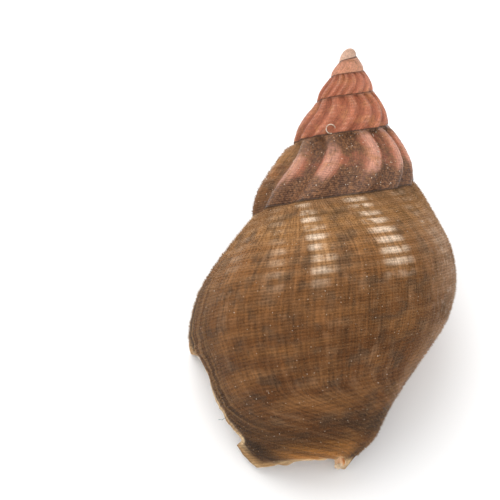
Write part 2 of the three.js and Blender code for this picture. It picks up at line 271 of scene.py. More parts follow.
def outline(turn, share):
    """Radius and depth of the smooth outer surface."""
    turn, share = np.broadcast_arrays(np.asarray(turn, float), np.asarray(share, float))
    lip = lip_point(share)
    size = GROWTH ** turn
    base = np.clip((share - BASE) / (1 - BASE), 0, 1)
    inside = smoothstep(-COLUMELLA_START, 1, -turn)
    draw = (NECK_DRAW + COLUMELLA_DRAW * inside * (1 - base)) * base ** 2
    draw = draw + NECK_END_DRAW * base ** NECK_END_POWER
    radius = lip[..., 0] * size ** (1 + draw)
    depth = lip[..., 1] * size ** ((1 - base ** 2) ** DEPTH_HOLD)
    notch = np.maximum(0, np.sin(np.pi * np.clip(-turn / NOTCH_TURNS, 0, 1))) ** NOTCH_ROUND
    risen = NOTCH_DEPTH * notch + TIP_RISE * smoothstep(0, NOTCH_TURNS, -turn)
    depth = depth - risen * base ** NOTCH_REACH
    span = smoothstep(*FASCIOLE_SPAN[:2], turn) * (1 - smoothstep(*FASCIOLE_SPAN[2:], turn))
    radius = radius + FASCIOLE_HEIGHT * span * np.exp(-((share - FASCIOLE_SHARE) / FASCIOLE_WIDTH) ** 2)
    pillar = COLUMELLA_RADIUS * (1 - COLUMELLA_TAPER * base)
    joined = 0.5 * (radius + pillar + np.hypot(radius - pillar, COLUMELLA_FLARE))
    radius = lerp(radius, joined, np.minimum(1, base / COLUMELLA_END))
    band = smoothstep(*LIP_DRAW_BAND[:2], share) * (1 - smoothstep(LIP_DRAW_BAND[2], 1, share))
    radius = radius * (1 - LIP_DRAW * band * smoothstep(LIP_DRAW_START, 0, turn))
    flared = smoothstep(*LIP_FLARE_TOP, share)
    flared = flared * (1 - LIP_FLARE_LESS_BY * smoothstep(*LIP_FLARE_LESS, share))
    near_edge = (turn - whole_lip_turn(share) + LIP_FLARE_WIDTH) / LIP_FLARE_WIDTH
    radius = radius + LIP_FLARE * flared * smoothstep(0, 1, near_edge)
    return radius, depth


def slope(turn, share, step):
    """How far the outline goes across and down, about a share, and the length of that."""
    above = outline(turn, np.maximum(0, share - step))
    below = outline(turn, np.minimum(1, share + step))
    across, down = below[0] - above[0], below[1] - above[1]
    return across, down, np.hypot(across, down)


def growth_line(line, share):
    """Turns by which a growth line, named by its turn at the suture, stands forward of it at a share."""
    across = np.minimum(1, share / SUTURE)
    spire = across * SHIFT / COLUMNS - FOLD_BACK * np.sin(np.pi * across)
    last = -LAST_BACK * np.sin(np.pi / 2 * np.minimum(1, share / LAST_BACK_FULL))
    return lerp(spire, last, smoothstep(-1, LAST_BACK_TURN, line))


def noise_row(count, octaves, seed):
    """A smooth row of numbers, about -1 to 1, one for each of count places along it."""
    random = np.random.RandomState(seed)
    total = np.zeros(count)
    for octave in octaves:
        knots = random.uniform(-1, 1, octave + 3)
        along = np.linspace(0, octave, count, endpoint=False)
        index = along.astype(int)
        part = along - index
        part = part * part * (3 - 2 * part)
        total += lerp(knots[index], knots[index + 1], part) / len(octaves)
    return total


# Growth lines along the whole spiral, and stronger ones near the lip
GROWTH_LINES = noise_row(GROWTH_STEPS, (200, 500), seed=1)
LATE_LINES = noise_row(GROWTH_STEPS, (300, 700), seed=2)

# The broken edge of the lip, down its length, and the worn end of the canal, round the last whorl
EDGE_STEPS = 400
EDGE_JAGS = noise_row(EDGE_STEPS, (24, 55, 120), seed=4)
END_JAGS = noise_row(EDGE_STEPS, (22, 60), seed=6)


def broken(line, share):
    """Turns by which the chipped, jagged edge lies behind the whole one, fading out behind the edge."""
    missing = smoothstep(CHIP_FROM - CHIP_EDGE, CHIP_FROM + CHIP_EDGE, share)
    missing = missing * (1 - smoothstep(CHIP_TO - CHIP_EDGE, CHIP_TO + CHIP_EDGE, share))
    jags = np.interp(share, np.linspace(0, 1, EDGE_STEPS), EDGE_JAGS)
    rough = EDGE_ROUGHNESS * lerp(EDGE_WHOLE, 1, missing) * smoothstep(*EDGE_ROUGH_SHARES, share)
    return (CHIP_BACK * missing - rough * jags) * smoothstep(CHIP_START, 0, line)


def turn_of(line, share):
    """The turn that a growth line has reached at a share."""
    to_lip = smoothstep(LIP_WARP_START, 0, line)
    return line + lerp(growth_line(line, share), whole_lip_turn(share), to_lip) - broken(line, share)


def fold_count(line):
    """Number of folds between the lip and a growth line, negative towards the apex."""
    return np.interp(line, FOLD_CRESTS[:, 0], FOLD_CRESTS[:, 1])


def folds(line, share):
    """Share of the radius that the folds across the whorls add."""
    grown = smoothstep(*FOLD_BIRTH, line)
    faded = lerp(1, FOLD_LAST, smoothstep(*FOLD_FADE, line))
    weak = FOLD_WEAKENED * smoothstep(*FOLD_WEAK, share)
    strong = FOLD_STRONGER * (1 - smoothstep(*FOLD_SHOULDER, share))
    risen = grown * faded * smoothstep(0, FOLD_TOP, share)
    height = FOLD_HEIGHT / (1 - FOLD_SMALLER * line) * risen * (1 + strong - weak)
    return height * (np.cos(2 * np.pi * fold_count(line)) - FOLD_SINK)


def place(turn, radius, depth):
    """A point of the upright shell, where the last of the columella leans away from the lip."""
    angle = -2 * np.pi * turn
    lean = TIP_LEAN * smoothstep(TIP_LEAN_TOP, TIP_DEPTH, depth)
    lean = lean * (1 - smoothstep(0, TIP_LEAN_REACH, radius))
    x, y = radius * np.cos(angle) - lean, radius * np.sin(angle)
    return np.stack(np.broadcast_arrays(x, y, -depth), -1)


def share_of(row):
    """The share of the outline at a row of the mesh."""
    row = np.asarray(row, float)
    spire = SUTURE * row / SPIRE_ROWS
    base = SUTURE + (1 - SUTURE) * (row - SPIRE_ROWS) / BASE_ROWS
    return np.where(row <= SPIRE_ROWS, spire, base)


def growth(line, share):
    """A growth line's turn for sculpture and colour, which crowds together along the canal."""
    return (line - broken(line, share)) * (1 - GROWTH_CROWD * smoothstep(*GROWTH_CROWD_SHARE, share))


def sculpture(line, share):
    """Millimetres that the spiral cords and the growth steps stand out, on a whorl of full size."""
    grown = smoothstep(*FOLD_BIRTH, line)
    wave = 0.5 + 0.5 * np.cos(2 * np.pi * (CORDS * share - CORD_START))
    strength = smoothstep(*CORD_SHARES[:2], share) * (1 - smoothstep(*CORD_SHARES[2:], share))
    cords = CORD_HEIGHT * wave ** CORD_SHARPNESS * strength
    cords = cords * (1 - CORD_LESS_BY * smoothstep(*CORD_LESS, share))
    turn = growth(line, share)
    steps_along = np.linspace(-TURNS, 0, GROWTH_STEPS)
    steps = GROWTH_STEP_HEIGHT * np.interp(turn, steps_along, GROWTH_LINES)
    near_lip = smoothstep(*LATE_STEP_TURNS, turn) * smoothstep(*LATE_STEP_SHARES, share)
    late = LATE_STEP_HEIGHT * near_lip * np.interp(turn, steps_along, LATE_LINES)
    return (cords + steps + late) * grown


def outer_point(line, share):
    """Points of the outer surface on growth lines."""
    turn = turn_of(line, share)
    radius, depth = outline(turn, share)
    across, down, length = slope(turn, share, SCULPTURE_STEP)
    out = sculpture(line, share) * GROWTH ** np.minimum(turn, 0)
    radius = radius * (1 + folds(line, share)) + out * down / length
    depth = depth - out * across / length
    worn = np.interp(line, np.linspace(-1, 0, EDGE_STEPS), END_JAGS) * smoothstep(*END_SPAN, line)
    depth = depth + END_ROUGHNESS * worn * smoothstep(END_SHARE, 1, share)
    # the first whorl swells out of the apex as a dome
    start = line + TURNS
    bud_radius, bud_depth = outline(turn, SUTURE)
    swing = np.pi / 2 * share / SUTURE
    grown = np.sqrt(np.clip(start, 0, 1))
    dome_depth = lerp(APEX_DEPTH, bud_depth, grown * (1 - np.cos(swing)))
    dome_radius = bud_radius * grown * np.sin(swing)
    first = start < 1
    return place(turn, np.where(first, dome_radius, radius), np.where(first, dome_depth, depth))


class Solid:
    """Vertices and faces of one closed mesh, with the line, share and side of each face's corners."""

    def __init__(self):
        self.points = []
        self.faces = []
        self.grown = []
        self.count = 0

    def add(self, points):
        points = np.asarray(points, float).reshape(-1, 3)
        first = self.count
        self.points.append(points)
        self.count += len(points)
        return first + np.arange(len(points))

    def face(self, corners, grown):
        """A face, without the corners that fall together."""
        kept = [k for k in range(len(corners)) if corners[k] != corners[k - 1]]
        if len(kept) >= 3:
            self.faces.append([int(corners[k]) for k in kept])
            self.grown.extend(grown[k] for k in kept)

    def mesh(self, name):
        mesh = bpy.data.meshes.new(name)
        mesh.from_pydata(np.vstack(self.points).tolist(), [], self.faces)
        values = np.array([corner if len(corner) == 3 else (*corner, 0) for corner in self.grown], float)
        layer = mesh.attributes.new("grown", "FLOAT_VECTOR", "CORNER")
        layer.data.foreach_set("vector", values.ravel())
        mesh.validate(clean_customdata=False)
        return mesh


def full_shell():
    """The shell as if it were full: whorl on whorl, each joined to the one before it at the suture."""
    solid = Solid()
    first, last_whorl = -TURNS * COLUMNS, -COLUMNS
    apex = solid.add([0, 0, -APEX_DEPTH])[0]
    columns = np.arange(first + 1, 1)
    ids = np.full((len(columns) + 1, ROWS + 1), apex)
    rows = np.arange(1, ROWS + 1)
    line, share = np.meshgrid(columns / COLUMNS, share_of(rows), indexing="ij")
    points = outer_point(line, share)
    on_spire = columns < last_whorl
    for index, column in enumerate(columns):
        height = SPIRE_ROWS if on_spire[index] else ROWS
        ids[index + 1, 1:height + 1] = solid.add(points[index, :height])
        before = column - COLUMNS - SHIFT
        ids[index + 1, 0] = apex if before <= first else ids[before - first, SPIRE_ROWS]

    def id_at(column, row):
        return ids[column - first, row]

    shares = share_of(np.arange(ROWS + 1))
    for column in range(first, 0):
        here, after = column / COLUMNS, (column + 1) / COLUMNS
        for row in range(SPIRE_ROWS if column < last_whorl else ROWS):
            top, bottom = shares[row], shares[row + 1]
            square = ((column, row), (column + 1, row), (column + 1, row + 1), (column, row + 1))
            grown = ((here, top), (after, top), (after, bottom), (here, bottom))
            solid.face([id_at(*corner) for corner in square], grown)

    tip = solid.add(place(0, 0, TIP_DEPTH))[0]
    for column in range(last_whorl, 0):
        line = column / COLUMNS
        solid.face((id_at(column, ROWS), id_at(column + 1, ROWS), tip), ((line, 1),) * 3)
    solid.face((id_at(0, ROWS), id_at(last_whorl, ROWS), tip), ((0, 1),) * 3)
    for column in range(last_whorl - SHIFT, last_whorl):
        corners = (id_at(0, 1), id_at(column, SPIRE_ROWS), id_at(column + 1, SPIRE_ROWS))
        solid.face(corners, ((0, 0),) * 3)
    for row in range(1, SPIRE_ROWS):
        corners = (id_at(0, row + 1), id_at(0, row), id_at(last_whorl, SPIRE_ROWS))
        solid.face(corners, ((0, shares[row]),) * 3)
    for row in range(SPIRE_ROWS, ROWS):
        corners = (id_at(0, row + 1), id_at(0, row), id_at(last_whorl, row), id_at(last_whorl, row + 1))
        solid.face(corners, ((0, shares[row]),) * 4)
    return solid


def inner_face(turn, share):
    """Radius and depth of the inner face of the outer wall."""
    radius, depth = outline(turn, share)
    across, down, length = slope(turn, share, WALL_STEP)
    wall = lerp(WALL, LIP_WALL, smoothstep(LIP_WALL_START, 0, turn))
    wall = wall * np.sqrt(GROWTH ** np.minimum(0, turn))
    return radius - wall * down / length, depth + wall * across / length


def core_radius(turn, depth):
    """Radius of the whorl before and of the columella, at a depth."""
    turn, depth = np.broadcast_arrays(np.asarray(turn, float), depth)
    above = np.full(depth.shape, SUTURE)
    below = np.ones(depth.shape)
    for _ in range(HALVINGS):
        middle = (above + below) / 2
        higher = outline(turn - 1, middle)[1] < depth
        above = np.where(higher, middle, above)
        below = np.where(higher, below, middle)
    return outline(turn - 1, above)[0] + GLAZE


def hollow_span(lines):
    """Shares of the outline between which the hollow is wide enough, for each growth line."""
    shares = np.arange(CAVITY_TOP, 1 + SPAN_STEP / 2, SPAN_STEP)
    turns = np.minimum(lines, 0)[:, None]
    radius, depth = inner_face(turns, shares[None, :])
    wide = radius - core_radius(turns, depth) >= NARROWEST
    top = np.argmax(wide, axis=1)
    after = np.arange(len(shares))[None, :] > top[:, None]
    closed = after & ~wide
    bottom = np.where(closed.any(axis=1), np.argmax(closed, axis=1), len(shares) - 1)
    return shares[top], np.minimum(1, shares[bottom])


def hollow():
    """The hollow of the shell, run out past the lip and below the canal."""
    solid = Solid()
    lines = np.append(np.arange(-CAVITY_TURNS * COLUMNS, 1, HOLLOW_COLUMN_STEP) / COLUMNS, OVERSHOOT)
    tops, bottoms = hollow_span(lines)
    shares = share_of(np.arange(0, ROWS + 1, HOLLOW_ROW_STEP))
    rings = []
    for line, top, bottom in zip(lines, tops, bottoms):
        share = np.clip(shares, top, bottom)
        turn = np.full(share.shape, line) if line > 0 else turn_of(line, share)
        radius, depth = inner_face(turn, share)
        radius = np.append(radius, radius[-1])
        depth = np.append(depth, depth[-1] + (DROP if bottom == 1 else 0))
        turn, share = np.append(turn, turn[-1]), np.append(share, share[-1])
        core = np.minimum(core_radius(np.maximum(turn, line), depth), radius - NARROWEST / 2)
        outer = solid.add(place(turn, radius, depth))
        inner = solid.add(place(line, core, depth))
        for row in range(1, len(share)):
            if share[row] == share[row - 1] and depth[row] == depth[row - 1]:
                outer[row], inner[row] = outer[row - 1], inner[row - 1]
        rings.append((np.append(outer, inner[::-1]), share, min(line, 0)))
    for (here, share, line), (after, _, next_line) in zip(rings, rings[1:]):
        around = [(part, 0) for part in share] + [(part, 1) for part in share[::-1]]
        for index in range(len(here)):
            step = (index + 1) % len(here)
            one, other = around[index], around[step]
            solid.face(
                (here[index], after[index], after[step], here[step]),
                ((line, *one), (next_line, *one), (next_line, *other), (line, *other)))
    rows = len(rings[0][1])
    for (ring, share, line), turned in ((rings[-1], False), (rings[0], True)):
        outer, inner = ring[:rows], ring[rows:][::-1]
        for row in range(rows - 1):
            corners = (outer[row], inner[row], inner[row + 1], outer[row + 1])
            solid.face(corners[::-1] if turned else corners, ((line, share[row]),) * 4)
    return solid


def resting(mesh):
    """The matrix from the upright shell, in millimetres, to its rest in the CAD box, in metres."""
    swap = Matrix(((-1, 0, 0, 0), (0, 0, 1, 0), (0, 1, 0, 0), (0, 0, 0, 1)))
    lift = Matrix.Rotation(math.radians(APEX_LIFT), 4, "X")
    roll = Matrix.Rotation(math.radians(ROLL), 4, "Z")
    turned = Matrix.Scale(MM, 4) @ lift @ swap @ roll
    co = np.array([turned @ vertex.co for vertex in mesh.vertices])
    low, high = co.min(0), co.max(0)
    box_low, box_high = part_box("shell")
    shift = (box_low + box_high) / 2 - Vector((low + high) / 2)
    shift.z = box_low.z - low[2]
    return Matrix.Translation(shift) @ turned


def shell_mesh():
    """The fine shell, upright: the full shell less its hollow."""
    cutter = bpy.data.objects.new("hollow", hollow().mesh("hollow"))
    whole = bpy.data.objects.new("whole", full_shell().mesh("whole"))
    for piece, material in ((whole, outside_material()), (cutter, inside_material())):
        bpy.context.scene.collection.objects.link(piece)
        piece.data.materials.append(material)
    cut = whole.modifiers.new("cut", "BOOLEAN")
    cut.operation, cut.object = "DIFFERENCE", cutter
    cut.solver, cut.material_mode = "MANIFOLD", "TRANSFER"
    made = bpy.data.meshes.new_from_object(whole.evaluated_get(bpy.context.evaluated_depsgraph_get()))
    for piece in (whole, cutter):
        bpy.data.objects.remove(piece)
    made.name = "whelk_shell"
    add_skin(made)
    made.polygons.foreach_set("use_smooth", [True] * len(made.polygons))
    made.set_sharp_from_angle(angle=math.radians(SHARP_ANGLE))
    return made


def add_skin(mesh):
    """At each corner: the growth line for colours, how far up a fold it is, and the hollow's side."""
    values = np.empty(len(mesh.loops) * 3)
    mesh.attributes["grown"].data.foreach_get("vector", values)
    line, share, side = values.reshape(-1, 3).T
    leaning = turn_of(line, share) - growth_line(line, share)
    leaning = leaning - PATTERN_FORWARD * smoothstep(*PATTERN_SPAN, line)
    crest = np.cos(2 * np.pi * fold_count(leaning))
    skin = np.stack([growth(line, share), crest, side], -1)
    mesh.attributes.new("skin", "FLOAT_VECTOR", "CORNER").data.foreach_set("vector", skin.ravel())


def surface(line, share):
    """Points of the outer surface, with unit vectors along the growth, down the outline and outwards."""
    root = outer_point(line, share)
    along = outer_point(line + SURFACE_STEP, share) - root
    down = outer_point(line, share + SURFACE_STEP) - root
    along /= np.linalg.norm(along, axis=-1, keepdims=True)
    out = np.cross(along, down)
    out /= np.linalg.norm(out, axis=-1, keepdims=True)
    return root, along, np.cross(out, along), out


def repeated_mesh(name, corners, faces, grown, matrix, top):
    """One small shape at many places, all above the floor, with its top corner marked as a tip."""
    above = (corners @ np.array(matrix)[2, :3]).min(1) + matrix[2][3] > 0
    corners, grown = corners[above], grown[above]
    count = corners.shape[1]
    every_face = (count * np.arange(len(corners))[:, None, None] + np.array(faces)).reshape(-1, 3)
    mesh = bpy.data.meshes.new(name)
    mesh.from_pydata(corners.reshape(-1, 3).tolist(), [], every_face.tolist())
    layer = mesh.attributes.new("grown", "FLOAT_VECTOR", "CORNER")
    layer.data.foreach_set("vector", np.repeat(grown, 3 * len(faces), axis=0).ravel())
    add_skin(mesh)
    values = np.empty(len(mesh.loops) * 3)
    mesh.attributes["skin"].data.foreach_get("vector", values)
    values.reshape(-1, 3)[every_face.ravel() % count == top, 2] = 1
    mesh.attributes["skin"].data.foreach_set("vector", values)
    return mesh


def bristle_mesh(matrix):
    """Short bristles in rows along the growth lines of the last whorl."""
    random = np.random.RandomState(7)
    line, share = np.meshgrid(
        -1 + (np.arange(BRISTLE_LINES) + 0.5) / BRISTLE_LINES,
        np.linspace(*BRISTLE_SHARES, BRISTLE_ROWS), indexing="ij")
    aside = random.uniform(-BRISTLE_LINE_STRAY, BRISTLE_LINE_STRAY, line.shape)
    line = (line + aside / BRISTLE_LINES).ravel()
    aside = random.uniform(-BRISTLE_ROW_STRAY, BRISTLE_ROW_STRAY, share.shape)
    share = (share + aside / BRISTLE_ROWS).ravel()
    bearing = (line < BRISTLE_EDGE) & ((line > CALLUS_LINE) | (share < CALLUS_SHARE))
    line, share = line[bearing], share[bearing]
    root, along, down, out = surface(line, share)
    length = BRISTLE_LENGTH * random.uniform(*BRISTLE_LENGTHS, len(line))[:, None]
    lean = random.normal(0, BRISTLE_LEAN, (2, len(line), 1))
    tip = root + length * (out + lean[0] * down + (lean[1] - BRISTLE_LEAN) * along)
    root = root - BRISTLE_ROOT * out
    corners = [tip]
    for angle in (0, 2 * math.pi / 3, 4 * math.pi / 3):
        corners.append(root + BRISTLE_WIDTH * (math.cos(angle) * along + math.sin(angle) * down))
    grown = np.stack([line, share, np.zeros(len(line))], -1)
    faces = ((0, 1, 2), (0, 2, 3), (0, 3, 1), (3, 2, 1))
    return repeated_mesh("bristles", np.stack(corners, 1), faces, grown, matrix, top=0)


def grain_mesh(matrix):
    """Eight-sided grains of sand on the last two whorls."""
    random = np.random.RandomState(11)
    line = random.uniform(*GRAIN_LINES, GRAINS)
    share = random.uniform(*GRAIN_SHARES, GRAINS)
    share = np.where(line < -1, share * SUTURE, share)
    root, *ways = surface(line, share)
    corners = []
    for way in ways:
        size = random.uniform(*GRAIN_SIZES, GRAINS)[:, None]
        corners += [root + size * way, root - size * way]
    grown = np.stack([line, share, np.zeros(GRAINS)], -1)
    faces = []
    for a, b, c in ((a, b, c) for a in (0, 1) for b in (2, 3) for c in (4, 5)):
        faces.append((a, b, c) if (a + b + c) % 2 else (a, c, b))
    return repeated_mesh("grains", np.stack(corners, 1), faces, grown, matrix, top=4)


def tube_mesh(name, centres, width, closed):
    """A square tube along a row of points."""
    count = len(centres)
    ahead = np.roll(centres, -1, 0) - centres if closed else np.gradient(centres, axis=0)
    side = np.cross(ahead, (0, 0, 1))
    side /= np.linalg.norm(side, axis=1)[:, None]
    lift = np.cross(side, ahead)
    lift /= np.linalg.norm(lift, axis=1)[:, None]
    ring = np.stack([centres + width * way for way in (side, lift, -side, -lift)], 1)
    faces = []
    for index in range(count if closed else count - 1):
        here, after = 4 * index, 4 * ((index + 1) % count)
        faces += [(here + k, after + k, after + (k + 1) % 4, here + (k + 1) % 4) for k in range(4)]
    if not closed:
        faces += [(0, 1, 2, 3), tuple(4 * count - k for k in range(1, 5))]
    mesh = bpy.data.meshes.new(name)
    mesh.from_pydata(ring.reshape(-1, 3).tolist(), [], faces)
    return mesh


def scar_mesh():
    """A raised ring that lies on the shell."""
    root, along, down, out = surface(np.array(SCAR_LINE), np.array(SCAR_SHARE))
    angle = np.linspace(0, 2 * np.pi, SCAR_POINTS, endpoint=False)[:, None]
    centres = root + SCAR_RADIUS * (np.cos(angle) * along + np.sin(angle) * down) + SCAR_WIDTH * out
    return tube_mesh("scar", centres, SCAR_WIDTH, True)


def fibre_mesh():
    """A stray fibre that stands out from the lip."""
    root, _, down, out = surface(np.array(FIBRE_LINE), np.array(FIBRE_SHARE))
    centres = np.array([root + away * out + across * down for away, across in FIBRE_REACH])
    return tube_mesh("fibre", centres, FIBRE_WIDTH, False)


class Value:
    """A number in a node tree, with which sums can be written."""

    def __init__(self, nodes, socket):
        self.nodes, self.socket = nodes, socket

    def __add__(self, other):
        return self.nodes.math("ADD", self, other)

    def __sub__(self, other):
        return self.nodes.math("SUBTRACT", self, other)

    def __rsub__(self, other):
        return self.nodes.math("SUBTRACT", other, self)

    def __mul__(self, other):
        return self.nodes.math("MULTIPLY", self, other)

    __radd__, __rmul__ = __add__, __mul__

    def rise(self, start, end):
        """0 before start and 1 after end, whichever of the two is the higher."""
        inputs = {"Value": self, "From Min": start, "From Max": end}
        node = self.nodes.add("MapRange", inputs, interpolation_type="SMOOTHSTEP")
        return Value(self.nodes, node.outputs[0])

    def wave(self):
        """1 at every whole number and 0 halfway between them."""
        return self.nodes.math("COSINE", self * (2 * math.pi)) * 0.5 + 0.5


class Nodes:
    """A short way to write a material's nodes."""

    def __init__(self, name):
        self.material = bpy.data.materials.new(name)
        self.material.use_nodes = True
        self.tree = self.material.node_tree
        self.shader = self.tree.nodes["Principled BSDF"]

    def add(self, kind, inputs=None, **settings):
        node = self.tree.nodes.new("ShaderNode" + kind)
        for key, value in settings.items():
            setattr(node, key, value)
        for key, value in (inputs or {}).items():
            self.link(value, node.inputs[key])
        return node

    def link(self, value, socket):
        if isinstance(value, Value):
            value = value.socket
        if isinstance(value, bpy.types.NodeSocket):
            self.tree.links.new(value, socket)
        else:
            socket.default_value = value

    def set(self, **inputs):
        """Values of the shader's own sockets, by their names."""
        for name, value in inputs.items():
            self.link(value, self.shader.inputs[name.replace("_", " ")])

    def math(self, operation, *values):
        return Value(self, self.add("Math", dict(enumerate(values)), operation=operation).outputs[0])

    def attribute(self, name):
        vector = self.add("Attribute", attribute_name=name).outputs["Vector"]
        return [Value(self, socket) for socket in self.add("SeparateXYZ", {"Vector": vector}).outputs]

    def millimetres(self):
        """A point of the piece in millimetres, for a texture to lie in."""
        return self.scale(self.add("TexCoord").outputs["Object"], 1 / MM)

    def across(self, first, second):
        """A point of the unrolled shell, for a texture to lie on."""
        return self.add("CombineXYZ", {"X": first, "Y": second}).outputs[0]

    def noise(self, point, scale=1.0, detail=2.0):
        inputs = {"Vector": point, "Scale": scale, "Detail": detail}
        return Value(self, self.add("TexNoise", inputs).outputs["Fac"])

    def dots(self, point, scale, radius, share):
        """1 on round dots, which this share of the cells have."""
        node = self.add("TexVoronoi", {"Vector": point, "Scale": scale, "Randomness": 1.0})
        chance = Value(self, self.add("SeparateColor", {"Color": node.outputs["Color"]}).outputs[0])
        near = Value(self, node.outputs["Distance"]).rise(radius, 0.6 * radius)
        return near * chance.rise(share, share - 0.01)

    def mix(self, part, first, second):
        node = self.add("Mix", data_type="RGBA", clamp_factor=True)
        self.link(part, node.inputs[0])
        for value, socket in ((first, node.inputs[6]), (second, node.inputs[7])):
            self.link((*value, 1) if isinstance(value, tuple) else value, socket)
        return node.outputs[2]

    def scale(self, colour, value):
        return self.add("VectorMath", {0: colour, "Scale": value}, operation="SCALE").outputs[0]

    def ramp(self, value, *stops):
        node = self.add("ValToRGB", {"Fac": value})
        elements = node.color_ramp.elements
        while len(elements) < len(stops):
            elements.new(0.5)
        for element, (position, colour) in zip(elements, stops):
            element.position = position
            element.color = (*colour, 1)
        return node.outputs[0]

    def bump(self, height, distance):
        """Relief that is too fine for the mesh, in metres for a height of 1."""
        inputs = {"Height": height, "Distance": distance, "Strength": 1.0}
        self.link(self.add("Bump", inputs).outputs[0], self.shader.inputs["Normal"])


def spire_colour(nodes, line, share, crest, spot):
    """Peach at the apex, then rust with painted highlights on the cords, then pink folds with dark
    velvety dirt between them.
    """
    colour = nodes.ramp(line * (1 / TURNS) + 1.0, *SPIRE_STOPS)
    blotch = nodes.noise(spot, 0.5, 4.0)
    cord = (share * CORDS - CORD_START).wave()
    # painted highlight: the cords are made lighter where they run over the folds
    painted_cord_highlight = cord * crest.rise(-0.5, 1.0) * blotch.rise(0.35, 0.6)
    colour = nodes.mix(painted_cord_highlight * 0.35, colour, PINK_CORD_HIGHLIGHT)
    by_suture = share.rise(0.09, 0.0) * line.rise(-5.0, -4.0)
    colour = nodes.mix(by_suture * 0.6, colour, BROWN_SUTURE)
    between_folds = crest.rise(0.4, -0.9) * line.rise(-4.2, -2.6)
    colour = nodes.mix(between_folds * 0.5, colour, RED_DIP)
    on_folds = crest.rise(0.0, 1.0) * line.rise(-2.1, -1.7)
    colour = nodes.mix(on_folds * 0.75, colour, PINK_CREST)
    colour = nodes.mix(blotch.rise(0.48, 0.68) * 0.5, colour, ORANGE_BLOTCH)
    dirt = crest.rise(0.85, -0.7) * 0.5 + share.rise(0.1, 0.0) * 0.6 + share.rise(0.29, 0.47) * 0.9
    dirt = dirt + share.rise(0.26, 0.1) * line.rise(-1.27, -1.23) * 0.7
    grain = nodes.noise(spot, 2.2, 3.0)
    dirt = (dirt + (blotch - 0.5) * 1.3 + (grain - 0.5) * 0.6).rise(-0.05, 0.75)
    dirt = dirt * line.rise(-2.2, -1.7)
    return nodes.mix(dirt * 0.92, colour, nodes.mix(grain.rise(0.35, 0.7), *SOIL_PAIR))


def body_colour(nodes, line, share, turn, crest, spot):
    """Golden brown near the suture, olive brown below, pale blocks where folds cross the cords, and a
    pale flank of dust with painted sheen.
    """
    patch = nodes.noise(nodes.across(line * 16.0, share * 14.0), 1.0, 3.0)
    mottle = nodes.noise(nodes.across(turn * 64.0, share * 15.0), 1.0, 3.0)
    cord = (share * CORDS - CORD_START).wave()
    colour = nodes.ramp(share + (patch - 0.5) * 0.3, *BODY_STOPS)
    colour = nodes.mix(nodes.noise(spot, 0.3, 4.0).rise(0.48, 0.66) * 0.6, colour, GREY_CLOUD)
    colour = nodes.mix(mottle.rise(0.5, 0.74) * 0.4, colour, TAN_MOTTLE)
    warm = patch.rise(0.42, 0.66) * share.rise(0.35, 0.55)
    colour = nodes.mix(warm * 0.6, colour, WARM_PATCH)
    high = share.rise(0.46, 0.32)
    seen = line.rise(-0.13, -0.17) * line.rise(-0.37, -0.29) * 0.85 + 0.15
    ridge = crest.rise(-0.1, 1.0) * high * seen
    colour = nodes.mix(cord * (0.05 + 0.16 * high) * patch.rise(0.3, 0.5), colour, TAN_CORD)
    colour = nodes.mix(ridge * 0.4, colour, GOLD_RIDGE)
    block = ridge * cord.rise(0.0, 0.9) * (mottle + patch).rise(0.78, 1.1)
    colour = nodes.mix(block, colour, CREAM_BLOCK)
    scratch = nodes.noise(nodes.across(turn * 200.0, share * 24.0), 1.0, 2.0).rise(0.5, 0.72)
    flank = line.rise(-0.29, -0.42) * line.rise(-0.62, -0.5)
    flank = flank * share.rise(0.1, 0.3) * share.rise(0.94, 0.85)
    # pale hairs and dust, with painted sheen where the velvety skin turns away at the limb
    colour = nodes.mix(flank * patch.rise(0.2, 0.6) * 0.75, colour, PALE_DUST_AND_SHEEN)
    furrow = share.rise(0.84, 0.88) * share.rise(0.93, 0.9)
    furrow = furrow * line.rise(-0.14, -0.22) * mottle.rise(0.3, 0.5)
    colour = nodes.mix(furrow * 0.75, colour, DARK_FURROW)
    return nodes.mix(flank * scratch * 0.7, colour, PALE_SCRATCH)


def edge_colour(nodes, colour, line, share, turn, broad):
    """Painted shade, with some dirt, in a dark band behind the lip; the orange stretch over the notch;
    and the pale rims.
    """
    # painted shade, with some dirt: a dark band in the hollow behind the flared lip
    band = turn.rise(-0.105, -0.05) * share.rise(0.2, 0.5)
    colour = nodes.mix(band * (0.4 + broad.rise(0.35, 0.65)) * 0.8, colour, SHADE_AND_DIRT_BAND)
    layers = nodes.noise(nodes.across(turn * 190.0, share * 1.5)).rise(0.45, 0.6)
    layers = layers * line.rise(-0.1, -0.04) * share.rise(0.98, 0.6)
    colour = nodes.mix(layers * 0.6, colour, TAN_LAYER)
    above_notch = share.rise(0.89, 0.97) * line.rise(-0.3, -0.2) * line.rise(-0.05, -0.13)
    colour = nodes.mix(above_notch * (0.3 + broad.rise(0.35, 0.6)) * 0.8, colour, ORANGE_NOTCH)
    rim = (share + (broad - 0.5) * 0.03).rise(0.972, 0.992) + line.rise(-0.026, -0.01)
    rim = rim + line.rise(-0.05, -0.02) * share.rise(0.6, 0.5)
    colour = nodes.mix(rim * 0.85, colour, nodes.mix(broad.rise(0.4, 0.6), *RIM_PAIR))
    facets = line.rise(-0.03, -0.02) * share.rise(0.5, 0.53)
    facets = facets * share.rise(0.61, 0.57) * broad.rise(0.4, 0.5)
    colour = nodes.mix(facets * 0.8, colour, WHITE_FACET)
    cut = share.rise(0.9985, 0.9995) + line.rise(-0.0006, -0.0002)
    tone = nodes.noise(nodes.millimetres(), 0.5)
    return nodes.mix(cut, colour, nodes.mix(tone.rise(0.4, 0.6), *CUT_PAIR))


def speck_material(name, pair, roughness):
    """Two colours mixed grain by grain."""
    nodes = Nodes(name)
    tone = nodes.noise(nodes.millimetres(), 1.5)
    nodes.set(Base_Color=nodes.mix(tone.rise(0.35, 0.65), *pair), Roughness=roughness)
    nodes.bump(nodes.noise(nodes.millimetres(), 8.0), SPECK_RELIEF)
    return nodes.material


